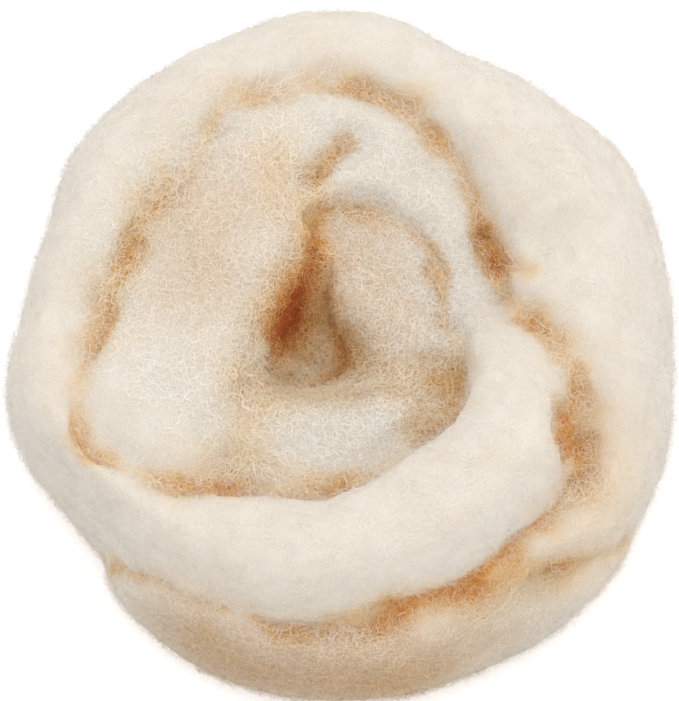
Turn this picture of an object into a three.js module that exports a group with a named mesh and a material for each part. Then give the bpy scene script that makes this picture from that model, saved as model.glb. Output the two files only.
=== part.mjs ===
// A carded wool batt: one thick, soft strip of combed fleece, rolled up on itself and standing on one end.
// Millimetres, +Z up. The roll's underside lies on z = 0 and the origin is the middle of its outline there.
import * as THREE from "three";

// Driving dimensions of the strip
const TURN_GAP = 0.8; // air left between one turn and the next, pressed close all the way down
const STATION = { wide: 5, tight: 10 }; // degrees from one section to the next, also on the tight inner turn
const TIGHT_WITHIN = 22; // a turn whose middle is nearer the middle of the roll than this is tight
const FULL_TURN = 360;

// How one section of the strip is rounded. Its outer face is bare on the outermost turn, and where it stands
// above the turn outside it, and swells freely there; everywhere else the turns press on each other.
const CROWN_SHARE = 0.5; // depth of the domed top for each millimetre of the strip's thickness
const CROWN_LEAST = 6;
const CROWN_MOST = 11;
const CROWN_BARE = 31; // the same towards the bare face
const CROWN_HIGHEST = 0.62; // a dome takes at most this share of the strip's height
const CROWN_FULL = { pressed: 2.8, bare: 2.1 }; // 2 is an ellipse, more is squarer
const CROWN_STEPS = 6;
const WALL_STOPS = [1 / 3, 2 / 3]; // where a face has points between its dome and its foot
const CREST_PLACE = { pressed: 0.5, bare: 0.38 }; // from the inner face (0) to the outer face (1)
const FOOT_PRESSED = { across: 5, up: 5 }; // rounding at the foot of a pressed face
const FOOT_BARE = { across: 9, up: 19 }; // rounding at the foot of the bare face
const FOOT_SHARE = 0.42; // a foot is rounded over at most this share of the strip's thickness
const FOOT_HIGHEST = 0.36; // and of its height
const FOOT_FULLNESS = 2.1;
const FOOT_STEPS = 4;
const FOOT_REACH = 0.8; // the last turn's foot stops this far from the middle of the roll
const MIDDLE_FLOOR = 36; // height at which the last turn closes the middle, as the bottom of a soft dish
const DISH_UNDER_RIM = 0.92; // the dish's bottom is at most this share of its rim's height
const DISH_BEND = { across: 0.45, down: 0.75 }; // where the dish turns from its wall to its bottom
const BARE_UNTIL = 215; // past this angle the strip's outer face lies against the turn outside it
const BARE_FADE = 40;

// Both ends of the strip are pulled out to a soft rounded nose, over some degrees of turn.
//   tip     share of the thickness that is left at the very tip
//   height  share of the strip's height that would be left at a nose of no thickness
const OUTER_NOSE = { degrees: 16, tip: 0.35, height: 0.25 };
const INNER_NOSE = { degrees: 26, tip: 0.15, height: 0.6 };

// The course of the strip, followed inwards and counter-clockwise seen from above.
//   turn   degrees round the roll from +X
//   outer  radius of the strip's outer face
//   crest  height of its domed top
//   inner  radius of its inner face, only where no further turn lies inside it
//   foot   the same below the dish, where the last turn spreads out and all but closes the middle
const COURSE = [
  { turn: -140, outer: 67.5, crest: 18 },
  { turn: -128, outer: 69.0, crest: 27 },
  { turn: -112, outer: 70.8, crest: 34 },
  { turn: -70, outer: 71.4, crest: 38 },
  { turn: -36, outer: 73.8, crest: 45 },
  { turn: -15, outer: 72.5, crest: 55 },
  { turn: 10, outer: 71.8, crest: 60 },
  { turn: 32, outer: 74.5, crest: 62 },
  { turn: 48, outer: 70.8, crest: 62 },
  { turn: 67, outer: 69.2, crest: 62 },
  { turn: 88, outer: 76.0, crest: 62 },
  { turn: 108, outer: 71.4, crest: 61 },
  { turn: 136, outer: 74.8, crest: 60 },
  { turn: 159, outer: 67.2, crest: 59 },
  { turn: 190, outer: 71.8, crest: 56 },
  { turn: 206, outer: 66.5, crest: 53 },
  { turn: 222, outer: 64.0, crest: 52 },
  { turn: 250, outer: 63.8, crest: 56 },
  { turn: 290, outer: 61.5, crest: 61 },
  { turn: 322, outer: 55.5, crest: 64 },
  { turn: 345, outer: 48.0, crest: 60 },
  { turn: 360, outer: 37.5, crest: 52 },
  { turn: 375, outer: 36.0, crest: 48 },
  { turn: 408, outer: 41.0, crest: 54 },
  { turn: 427, outer: 46.4, crest: 56 },
  { turn: 447, outer: 50.2, crest: 60 },
  { turn: 474, outer: 51.0, crest: 60, inner: 16, foot: 12 },
  { turn: 487, outer: 49.0, crest: 59, inner: 14, foot: 1 },
  { turn: 505, outer: 45.5, crest: 58, inner: 13, foot: 1 },
  { turn: 530, outer: 48.7, crest: 58, inner: 14, foot: 1 },
  { turn: 550, outer: 54.0, crest: 58, inner: 16, foot: 1 },
  { turn: 569, outer: 59.3, crest: 56, inner: 18, foot: 1 },
  { turn: 587, outer: 53.0, crest: 54, inner: 18, foot: 1 },
  { turn: 602, outer: 43.5, crest: 51, inner: 14, foot: 1 },
  { turn: 646, outer: 37.1, crest: 49, inner: 7, foot: 1 },
  { turn: 692, outer: 30.5, crest: 49, inner: 4, foot: 1 },
  { turn: 730, outer: 22.2, crest: 50, inner: 1.5, foot: 1 },
  { turn: 778, outer: 25.1, crest: 51, inner: 1, foot: 1 },
  { turn: 830, outer: 24.0, crest: 49, inner: 1, foot: 1 },
];
const COURSE_STARTS = COURSE[0].turn;
const COURSE_ENDS = COURSE[COURSE.length - 1].turn;

// Soft tucks pressed into the wool, each a trough between two points given by turn, radius and height.
//   width is how far the trough reaches to each side, depth how far the wool sinks in its middle
//   lean is the angle from straight down, towards the middle of the roll, at which it sinks
const TUCKS = [
  { from: [86, 38, 55], to: [103, 29, 50], width: 5, depth: 9, lean: 8 }, // fold across the inner back
  { from: [180, 53, 50], to: [183, 40, 54], width: 6, depth: 4, lean: 8 }, // dip that parts the left lobes
  { from: [221, 22, 44], to: [236, 42, 44], width: 6, depth: 6, lean: 8 }, // end of the lower left lobe
  { from: [-65, 9, 40], to: [-31, 24, 42], width: 5, depth: 6, lean: 8 }, // foot of the core's own lobe
  { from: [27, 38, 46], to: [16, 45, 54], width: 5, depth: 7, lean: 8 }, // pit inside the right-hand wrap
  { from: [-23, 51, 44], to: [-31, 57, 42], width: 4.5, depth: 7, lean: 0 }, // gap by the front turn's end
  { from: [118, 12, 44], to: [207, 13, 40], width: 4, depth: 8, lean: 0 }, // pit along the middle's left
  { from: [222, 13, 44], to: [290, 13, 42], width: 7, depth: 7, lean: 0 }, // low front lip of the middle
  { from: [-30, 75, 22], to: [-50, 71, 36], width: 5.5, depth: 5, lean: 30 }, // crease on the lower right
  { from: [-50, 71, 36], to: [-67, 64, 32], width: 5.5, depth: 5, lean: 30 }, // the same, on to the front
];
const TUCK_STRETCH = 2.2; // a tuck fades this much more slowly along that way than to its sides
const TUCK_FROM_HEIGHT = 8; // the foot of the roll isn't moved by a tuck
const TUCK_FULL_HEIGHT = 24;

// Uneven carding: long low swells of the surface, each a wave along one level direction
//   heading  degrees from +X;  length  one wave;  sway  sideways movement;  lift  movement up and down
const SWELLS = [
  { heading: 20, length: 53, phase: 0.4, sway: 0.9, lift: 0.7 },
  { heading: 95, length: 44, phase: 2.1, sway: 0.8, lift: 0.8 },
  { heading: 150, length: 31, phase: 4.0, sway: 0.6, lift: 0.6 },
  { heading: 60, length: 25, phase: 5.2, sway: 0.4, lift: 0.4 },
];
const SWELL_STILL_HEIGHT = 4; // below this the foot keeps its flat
const SWELL_FREE_HEIGHT = 24;

const WOOL = { color: 0xe9e0d3, roughness: 0.95, metalness: 0 };

const radians = THREE.MathUtils.degToRad;
const { clamp, lerp, smoothstep } = THREE.MathUtils;

// One column of a table as a smooth function of the turn: cubic pieces through its rows.
function column(rows, name) {
  const known = rows.filter((row) => row[name] !== undefined);
  const slopes = known.map((row, i) => {
    const before = known[Math.max(i - 1, 0)];
    const after = known[Math.min(i + 1, known.length - 1)];
    return (after[name] - before[name]) / (after.turn - before.turn);
  });
  return (turn) => {
    const last = known.length - 2;
    const found = known.findIndex((row, i) => i <= last && turn <= known[i + 1].turn);
    const i = found < 0 ? last : found;
    const span = known[i + 1].turn - known[i].turn;
    const t = clamp((turn - known[i].turn) / span, 0, 1);
    const rise = t * t * (3 - 2 * t);
    const bendStart = t * (1 - t) * (1 - t) * span * slopes[i];
    const bendEnd = t * t * (t - 1) * span * slopes[i + 1];
    return known[i][name] * (1 - rise) + known[i + 1][name] * rise + bendStart + bendEnd;
  };
}

const outerFace = column(COURSE, "outer");
const crestHeight = column(COURSE, "crest");
const openInnerFace = column(COURSE, "inner");
const openFoot = column(COURSE, "foot");

// Share of the full thickness at a turn: 1 along the strip, falling to a rounded nose at one end.
function noseShare(fromEnd, { degrees, tip }) {
  const along = clamp(fromEnd / degrees, 0, 1);
  return lerp(tip, 1, Math.sqrt(1 - (1 - along) ** 2));
}

// The noses' effect at a turn, on the strip's thickness and on its height.
function drawnIn(turn) {
  const start = noseShare(turn - COURSE_STARTS, OUTER_NOSE);
  const end = noseShare(COURSE_ENDS - turn, INNER_NOSE);
  const startHeight = lerp(OUTER_NOSE.height, 1, start);
  const endHeight = lerp(INNER_NOSE.height, 1, end);
  return { thickness: start * end, height: startHeight * endHeight };
}

// Radii of the strip's two faces before the noses are drawn in.
function fullFaces(turn) {
  const next = turn + FULL_TURN;
  const inner = next <= COURSE_ENDS ? faces(next).outer + TURN_GAP : openInnerFace(turn);
  return { inner, outer: outerFace(turn) };
}

// Radii of the strip's inner and outer face at a turn.
function faces(turn) {
  const { inner, outer } = fullFaces(turn);
  const middle = (inner + outer) / 2;
  const half = ((outer - inner) / 2) * drawnIn(turn).thickness;
  return { inner: middle - half, outer: middle + half };
}

// One quarter of a rounded corner, as shares across and up, from the side to the level end.
function quarter(steps, fullness) {
  return Array.from({ length: steps + 1 }, (_, i) => {
    const angle = (i / steps) * (Math.PI / 2);
    return { across: Math.cos(angle) ** (2 / fullness), up: Math.sin(angle) ** (2 / fullness) };
  });
}

// Share to which the top of the strip's outer face is bare: all of it on the outermost turn.
function bareTop(turn) {
  const outside = turn - FULL_TURN;
  if (outside < COURSE_STARTS) {
    return 1;
  }
  const standsOver = crestHeight(turn) - crestHeight(outside) * drawnIn(outside).height;
  return clamp(standsOver / CROWN_BARE, 0, 1);
}

// The strip's section at a turn: points of radius and height, counter-clockwise from the outer shoulder.
function section(turn) {
  const { inner, outer } = faces(turn);
  const thick = outer - inner;
  const bare = 1 - smoothstep(turn, BARE_UNTIL - BARE_FADE, BARE_UNTIL);
  const top = crestHeight(turn) * drawnIn(turn).height;
  const crest = inner + thick * lerp(CREST_PLACE.pressed, CREST_PLACE.bare, bare);
  const pressedCrown = clamp(thick * CROWN_SHARE, CROWN_LEAST, CROWN_MOST);
  const crownInside = Math.min(pressedCrown, top * CROWN_HIGHEST);
  const free = bareTop(turn);
  const crownOutside = Math.min(lerp(pressedCrown, CROWN_BARE, free), top * CROWN_HIGHEST);
  const footInside = foot(FOOT_PRESSED, FOOT_PRESSED, 0, thick, top);
  const footOutside = foot(FOOT_PRESSED, FOOT_BARE, bare, thick, top);
  const last = turn + FULL_TURN > COURSE_ENDS;
  const reach = last ? clamp(openFoot(turn), FOOT_REACH, inner) : inner;
  const domeInside = quarter(CROWN_STEPS, CROWN_FULL.pressed);
  const domeOutside = quarter(CROWN_STEPS, lerp(CROWN_FULL.pressed, CROWN_FULL.bare, free));
  const turned = quarter(FOOT_STEPS, FOOT_FULLNESS);
  const points = [];
  const corner = (steps, side, middle, level, depth) =>
    steps.forEach(({ across, up }) => points.push({ r: lerp(middle, side, across), z: level + depth * up }));
  const wall = (from, to) =>
    WALL_STOPS.forEach((t) => points.push({ r: lerp(from.r, to.r, t), z: lerp(from.z, to.z, t) }));
  const dish = (rim, bottom) => {
    const bend = { r: lerp(rim.r, bottom.r, DISH_BEND.across), z: lerp(rim.z, bottom.z, DISH_BEND.down) };
    points.push(bend, bottom);
  };
  corner(domeOutside, outer, crest, top - crownOutside, crownOutside);
  corner([...domeInside].reverse().slice(1), inner, crest, top - crownInside, crownInside);
  const rim = { r: inner, z: top - crownInside };
  if (last) {
    dish(rim, { r: reach, z: Math.min(MIDDLE_FLOOR, rim.z * DISH_UNDER_RIM) });
  } else {
    wall(rim, { r: inner, z: footInside.up });
  }
  corner(turned, reach, reach + footInside.across, footInside.up, -footInside.up);
  corner([...turned].reverse(), outer, outer - footOutside.across, footOutside.up, -footOutside.up);
  wall({ r: outer, z: footOutside.up }, { r: outer, z: top - crownOutside });
  return points;
}

// How far a foot is rounded, between a pressed and a bare one, on a strip of this thickness and height.
function foot(pressed, loose, bare, thick, top) {
  return {
    across: Math.min(lerp(pressed.across, loose.across, bare), thick * FOOT_SHARE),
    up: Math.min(lerp(pressed.up, loose.up, bare), top * FOOT_HIGHEST),
  };
}

// A point given by its turn, radius and height.
function polar(turn, radius, height) {
  return new THREE.Vector3(radius * Math.cos(radians(turn)), radius * Math.sin(radians(turn)), height);
}

// The way the wool goes in a tuck: towards the middle of the roll, and down.
function wayIn({ from, to, lean }) {
  const outwards = polar(...from).add(polar(...to)).setZ(0).normalize();
  return outwards.multiplyScalar(-Math.sin(radians(lean))).setZ(-Math.cos(radians(lean)));
}

// Distance of a point from a tuck's middle line, counted short along the way in.
function distanceToTuck(point, { from, to }, way) {
  const shorten = (p) => p.clone().addScaledVector(way, p.dot(way) * (1 / TUCK_STRETCH - 1));
  const here = shorten(point);
  const nearest = new THREE.Vector3();
  new THREE.Line3(shorten(polar(...from)), shorten(polar(...to))).closestPointToPoint(here, true, nearest);
  return nearest.distanceTo(here);
}

// A point of the even roll moved to where the soft wool puts it: swells, then tucks.
function settle(point) {
  const free = smoothstep(point.z, SWELL_STILL_HEIGHT, SWELL_FREE_HEIGHT);
  const moved = point.clone();
  for (const { heading, length, phase, sway, lift } of SWELLS) {
    const along = point.x * Math.cos(radians(heading)) + point.y * Math.sin(radians(heading));
    const wave = Math.sin((2 * Math.PI * along) / length + phase + point.z / length);
    moved.x -= sway * free * wave * Math.sin(radians(heading));
    moved.y += sway * free * wave * Math.cos(radians(heading));
    moved.z += lift * free * wave;
  }
  const tucked = smoothstep(point.z, TUCK_FROM_HEIGHT, TUCK_FULL_HEIGHT);
  for (const tuck of TUCKS) {
    const way = wayIn(tuck);
    const away = distanceToTuck(point, tuck, way) / tuck.width;
    moved.addScaledVector(way, tuck.depth * tucked * Math.exp(-away * away));
  }
  return moved;
}

// The turns at which the strip has a section, at the same angles on every turn.
function stations() {
  const turns = [];
  let turn = COURSE_STARTS;
  while (turn < COURSE_ENDS) {
    turns.push(turn);
    const { inner, outer } = faces(turn);
    turn += (inner + outer) / 2 < TIGHT_WITHIN ? STATION.tight : STATION.wide;
  }
  turns.push(COURSE_ENDS);
  return turns;
}

// The whole strip: its sections joined by a skin and closed by a cap at each nose.
function rolledStrip() {
  const turns = stations();
  const rings = turns.map((turn) => section(turn).map(({ r, z }) => settle(polar(turn, r, z))));
  const round = rings[0].length;
  const points = rings.flat();
  const triangles = [];
  for (let i = 0; i + 1 < rings.length; i++) {
    for (let k = 0; k < round; k++) {
      const here = i * round + k;
      const above = i * round + ((k + 1) % round);
      triangles.push([here, here + round, above], [above, here + round, above + round]);
    }
  }
  const middleOf = (ring) => ring.reduce((sum, p) => sum.add(p), new THREE.Vector3()).divideScalar(round);
  const caps = [
    { ring: 0, reverse: true },
    { ring: rings.length - 1, reverse: false },
  ];
  for (const { ring, reverse } of caps) {
    const hub = points.length;
    points.push(middleOf(rings[ring]));
    for (let k = 0; k < round; k++) {
      const edge = [ring * round + k, ring * round + ((k + 1) % round)];
      triangles.push(reverse ? [hub, edge[0], edge[1]] : [hub, edge[1], edge[0]]);
    }
  }
  const geometry = new THREE.BufferGeometry().setFromPoints(points);
  geometry.setIndex(triangles.flat());
  return geometry;
}

// Moves a geometry so that the middle of its underside is the origin.
function standOnOrigin(geometry) {
  geometry.computeBoundingBox();
  const { min, max } = geometry.boundingBox;
  geometry.translate(-(min.x + max.x) / 2, -(min.y + max.y) / 2, -min.z);
  geometry.computeVertexNormals();
  return geometry;
}

const batt = new THREE.Mesh(standOnOrigin(rolledStrip()), new THREE.MeshStandardMaterial(WOOL));
batt.name = "wool_batt";

const roll = new THREE.Group();
roll.name = "carded_wool_roll";
roll.add(batt);

export default roll;
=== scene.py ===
"""Looks of a carded wool batt that is rolled up on itself: its soft cream body and the crimped fibres on it.

Metres, +Z up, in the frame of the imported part. The roll stands on z = 0 with its loose outer end towards -Y.
"""

import logging
import math
from dataclasses import dataclass
from enum import Enum

import bmesh
import bpy
import numpy as np
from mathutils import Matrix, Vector, noise
from mathutils.bvhtree import BVHTree
from mathutils.kdtree import KDTree


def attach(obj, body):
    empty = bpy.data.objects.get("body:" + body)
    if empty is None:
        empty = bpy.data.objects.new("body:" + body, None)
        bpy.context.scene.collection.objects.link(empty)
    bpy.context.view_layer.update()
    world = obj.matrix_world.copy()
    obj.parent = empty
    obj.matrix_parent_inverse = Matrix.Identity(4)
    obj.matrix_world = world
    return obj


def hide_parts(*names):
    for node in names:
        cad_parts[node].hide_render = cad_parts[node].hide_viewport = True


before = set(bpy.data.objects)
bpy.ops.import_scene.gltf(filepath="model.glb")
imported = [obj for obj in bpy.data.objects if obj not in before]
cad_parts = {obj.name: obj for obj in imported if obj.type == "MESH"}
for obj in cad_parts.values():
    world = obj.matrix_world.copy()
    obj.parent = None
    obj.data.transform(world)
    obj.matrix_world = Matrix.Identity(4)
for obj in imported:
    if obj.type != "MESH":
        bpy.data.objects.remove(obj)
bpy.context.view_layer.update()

MM = 0.001
NODE = "wool_batt"
BODY = "root"
FOLD_SHADE = "crease"  # how deep in a fold a point lies, from 0 on the open surface to 1, which the colour follows as painted shade
LOOSE = "loose"  # how loosely the fibres lie, from 0 on the smooth outer wrap to 1
PAINTED_SHADE = "painted_shade"  # how much darker the wool is painted as shade, from 0 to 1
TONE = "tone"  # how light a fibre is, from 0 to 1
BAKE_MAP = "OFBake"
WHITE = (1.0, 1.0, 1.0, 1.0)
NOISE_MIDDLE = 0.5  # of the values that a noise pattern has
GOLDEN_ANGLE = math.pi * (3.0 - math.sqrt(5.0))
ODD_WAY = (0.31, 0.27, 0.91)  # a direction that hardly any wool faces exactly
OUTER_PAINTED_SHADE = 0.2  # painted shade on the strands of the outer wrap, so they are about as dim as the painted shade between strands

Span = tuple[float, float]
Colour = tuple[float, float, float]
Setting = bpy.types.NodeSocket | float | tuple[float, ...]
Courses = tuple[np.ndarray, np.ndarray, np.ndarray]  # points, and the way out and the depth of fold there
log = logging.getLogger("wool_roll")


def smoothstep(value: np.ndarray, low: float, high: float) -> np.ndarray:
    """Smooth rise from 0 at low to 1 at high.

    Args:
        value: numbers to be looked up.
        low: where the rise starts.
        high: where the rise ends.

    Returns:
        The risen share of each number.
    """
    share = np.clip((value - low) / (high - low), 0.0, 1.0)
    return share * share * (3.0 - 2.0 * share)


def unit(vectors: np.ndarray) -> np.ndarray:
    """The vectors along the last axis, each made one long."""
    return vectors / np.maximum(np.linalg.norm(vectors, axis=-1, keepdims=True), 1e-12)


def paint(mesh: bpy.types.Mesh, name: str, values: np.ndarray) -> None:
    """Stores one number a point of a mesh, as an attribute of that name."""
    attribute = mesh.attributes.new(name, "FLOAT", "POINT")
    attribute.data.foreach_set("value", values.astype(np.float32).ravel())


@dataclass(frozen=True)
class Zones:
    """Where on the roll the fibres lie loosely."""

    inner_middle: Span = (-11 * MM, 5 * MM)  # of the inner turns, seen from above
    inner_edge: Span = (35 * MM, 48 * MM)  # how far from there they end, and the outer wrap starts
    inner_loose: float = 0.45  # how loosely their fibres lie, away from the core
    core_middle: Span = (1 * MM, -9 * MM)  # of the loosest wool, round the core
    core_edge: Span = (20 * MM, 32 * MM)  # how far from there it starts to end, and has ended
    wall_front: Span = (48 * MM, 60 * MM)  # how far forward the loose front wall starts, and is all there
    wall_top: Span = (30 * MM, 40 * MM)  # the heights over which it ends

    def near(self, points: np.ndarray, middle: Span, edge: Span) -> np.ndarray:
        """How far each point belongs to a round zone, from 0 outside its edge to 1."""
        return 1.0 - smoothstep(np.linalg.norm(points[:, :2] - middle, axis=1), *edge)

    def inner(self, points: np.ndarray) -> np.ndarray:
        """How far each point belongs to the inner turns, from 0 on the outer wrap to 1."""
        return self.near(points, self.inner_middle, self.inner_edge)

    def loose(self, points: np.ndarray) -> np.ndarray:
        """How loosely the fibres lie.

        Args:
            points: places on the roll.

        Returns:
            One number a point, from 0 on the smooth outer wrap to 1 round the core and on the front wall.
        """
        wall = smoothstep(-points[:, 1], *self.wall_front) * (1.0 - smoothstep(points[:, 2], *self.wall_top))
        core = self.near(points, self.core_middle, self.core_edge)
        return np.maximum(self.inner_loose * self.inner(points), np.maximum(core, wall))


ZONES = Zones()


class Nodes:
    """The node tree of a material or of the room, with short ways to add nodes and links."""

    def __init__(self, owner: bpy.types.Material | bpy.types.World) -> None:
        """Starts an empty tree.

        Args:
            owner: the new material or room.
        """
        self.owner = owner
        self.owner.use_nodes = True
        self.tree = owner.node_tree
        self.tree.nodes.clear()

    def add(self, kind: str, **settings: object) -> bpy.types.Node:
        """Adds one node.

        Args:
            kind: Blender's name of the node type.
            settings: properties of the node, or values of its unlinked inputs by name with _ for a space.

        Returns:
            The new node.
        """
        node = self.tree.nodes.new(kind)
        for key, value in settings.items():
            socket = node.inputs.get(key.replace("_", " "))
            if socket is not None:
                socket.default_value = value
            else:
                setattr(node, key, value)
        return node

    def put(self, value: Setting, target: bpy.types.NodeSocket) -> None:
        """Joins an output to an input, or sets the input to a constant.

        Args:
            value: the output or the constant.
            target: the input.
        """
        if isinstance(value, bpy.types.NodeSocket):
            self.tree.links.new(value, target)
        else:
            target.default_value = value

    def place(self) -> bpy.types.NodeSocket:
        """Adds the place on the piece."""
        return self.add("ShaderNodeTexCoord").outputs["Object"]

    def painted(self, name: str) -> bpy.types.NodeSocket:
        """Adds the value of one of the piece's attributes."""
        return self.add("ShaderNodeAttribute", attribute_name=name).outputs["Fac"]

    def counted(self, operation: str, *values: Setting) -> bpy.types.NodeSocket:
        """Adds one step of arithmetic.

        Args:
            operation: Blender's name of it.
            values: what it works on.

        Returns:
            The socket that gives the result.
        """
        node = self.add("ShaderNodeMath", operation=operation)
        for value, target in zip(values, node.inputs):
            self.put(value, target)
        return node.outputs["Value"]

    def ranged(
        self, value: bpy.types.NodeSocket, source: Span, target: Span, **settings: object
    ) -> bpy.types.NodeSocket:
        """Adds a map of one range of values to another.

        Args:
            value: the socket that gives the value.
            source: the range it comes from.
            target: the range it goes to.
            settings: properties of the node.

        Returns:
            The socket that gives the mapped value.
        """
        node = self.add("ShaderNodeMapRange", **settings)
        for key, number in zip(("From Min", "From Max", "To Min", "To Max"), (*source, *target)):
            node.inputs[key].default_value = number
        self.put(value, node.inputs["Value"])
        return node.outputs["Result"]

    def mixed(
        self, share: Setting, first: Setting, second: Setting, kind: str = "RGBA", blend: str = "MIX"
    ) -> bpy.types.NodeSocket:
        """Adds a mix of two colours or numbers.

        Args:
            share: how much of the second counts.
            first: the first of them.
            second: the second of them.
            kind: Blender's name of what they are.
            blend: Blender's name of how they are mixed.

        Returns:
            The socket that gives the mix.
        """
        node = self.add("ShaderNodeMix", data_type=kind, blend_type=blend)
        for value, name in ((share, "Factor"), (first, "A"), (second, "B")):
            self.put(value, node.inputs[name])
        return node.outputs["Result"]

    def multiplied(self, first: Setting, second: Setting) -> bpy.types.NodeSocket:
        """Adds the product of two colours."""
        return self.mixed(1.0, first, second, blend="MULTIPLY")

    def ramp(
        self, value: bpy.types.NodeSocket, stops: tuple[tuple[float, Colour], ...]
    ) -> bpy.types.NodeSocket:
        """Adds a row of colours that go over into each other.

        Args:
            value: the socket that says where in the row to look.
            stops: the place of each colour in the row, and the colour.

        Returns:
            The socket that gives the colour.
        """
        node = self.add("ShaderNodeValToRGB")
        elements = node.color_ramp.elements
        while len(elements) < len(stops):
            elements.new(1.0)
        for element, (position, colour) in zip(elements, stops):
            element.position = position
            element.color = (*colour, 1.0)
        self.put(value, node.inputs["Fac"])
        return node.outputs["Color"]


@dataclass(frozen=True)
class Grain:
    """An uneven pattern of one size."""

    size: float
    detail: float
    roughness: float = 0.5
    twist: float = 0.0

    def add_to(self, nodes: Nodes, place: bpy.types.NodeSocket) -> bpy.types.NodeSocket:
        """Adds the pattern to a material.

        Args:
            nodes: the material's nodes.
            place: the socket that gives the place on the piece.

        Returns:
            The socket that gives the pattern's value.
        """
        cloud = nodes.add("ShaderNodeTexNoise", Scale=1.0 / self.size, Detail=self.detail)
        cloud.inputs["Roughness"].default_value = self.roughness
        cloud.inputs["Distortion"].default_value = self.twist
        nodes.put(place, cloud.inputs["Vector"])
        return cloud.outputs["Fac"]


@dataclass(frozen=True)
class WoolFinish:
    """Colour and surface of the wool, with painted shade from its open cream side to the depth of a fold."""

    name: str
    # colours by depth of fold: painted shade, from the open wool to the deepest fold
    depths: tuple[tuple[float, Colour], ...]
    # colour of the deepest painted shade, multiplied in where it is marked in full
    painted_shade_tint: Colour = (0.62, 0.42, 0.38)
    roughness: float = 0.9
    gloss: float = 0.2
    sheen: float = 0.5
    sheen_roughness: float = 0.6
    sheen_tint: Colour = (1.0, 0.96, 0.9)
    dull_from: float = 0.7  # depth of fold at which no sheen is left

    def coloured(self, nodes: Nodes, share: float = 1.0) -> bpy.types.NodeSocket:
        """Adds the colour with its painted shade: by depth of fold, and darker where more painted shade is
        marked.

        Args:
            nodes: the material's nodes.
            share: how much of the depth counts.

        Returns:
            The socket that gives the colour.
        """
        depth = nodes.counted("MULTIPLY", nodes.painted(FOLD_SHADE), share)
        tint = nodes.mixed(nodes.painted(PAINTED_SHADE), WHITE, (*self.painted_shade_tint, 1.0))
        return nodes.multiplied(nodes.ramp(depth, self.depths), tint)

    def shader(self, nodes: Nodes, colour: bpy.types.NodeSocket) -> bpy.types.Node:
        """Adds the matt shader of wool and the material's output.

        Args:
            nodes: the material's nodes.
            colour: the socket that gives the colour.

        Returns:
            The shader node.
        """
        shader = nodes.add("ShaderNodeBsdfPrincipled", Roughness=self.roughness)
        shader.inputs["Specular IOR Level"].default_value = self.gloss
        shader.inputs["Sheen Roughness"].default_value = self.sheen_roughness
        shader.inputs["Sheen Tint"].default_value = (*self.sheen_tint, 1.0)
        bloom = nodes.ranged(nodes.painted(FOLD_SHADE), (0.0, self.dull_from), (self.sheen, 0.0))
        output = nodes.add("ShaderNodeOutputMaterial")
        nodes.put(bloom, shader.inputs["Sheen Weight"])
        nodes.put(colour, shader.inputs["Base Color"])
        nodes.put(shader.outputs["BSDF"], output.inputs["Surface"])
        return shader


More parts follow.
